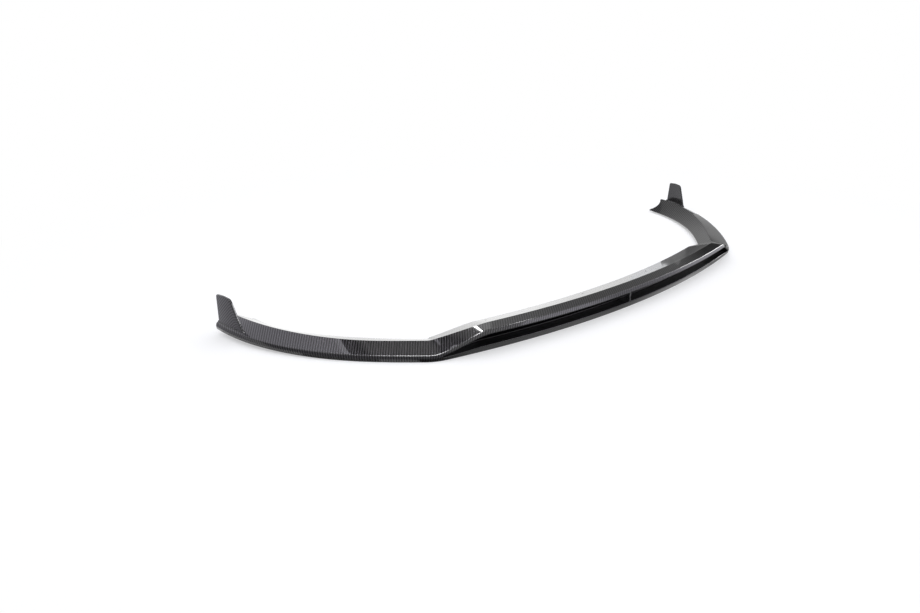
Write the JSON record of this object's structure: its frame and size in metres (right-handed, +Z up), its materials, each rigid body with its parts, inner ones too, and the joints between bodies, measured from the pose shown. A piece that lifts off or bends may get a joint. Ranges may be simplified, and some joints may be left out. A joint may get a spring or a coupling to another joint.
{
  "type": "front splitter lip",
  "caption": "Wide, low front bumper lip in glossy woven laminate: a raised, slotted centre, swept arms with upright end fins, and screw holes along its rear flange.",
  "frame": {"origin": "middle of the lip's box, at the foot it stands on", "axes": "+X along the width of the car, +Y from the front edge back to the arm ends, +Z up"},
  "size_m": [1.765, 0.5336, 0.1018],
  "materials": {
    "carbon_laminate": "2x2 twill carbon weave under a deep clear coat",
    "stay_metal": "satin"
  },
  "bodies": {
    "root": {"splitter_lip": "carbon_laminate", "slot_stay": "stay_metal"}
  },
  "joints": []
}
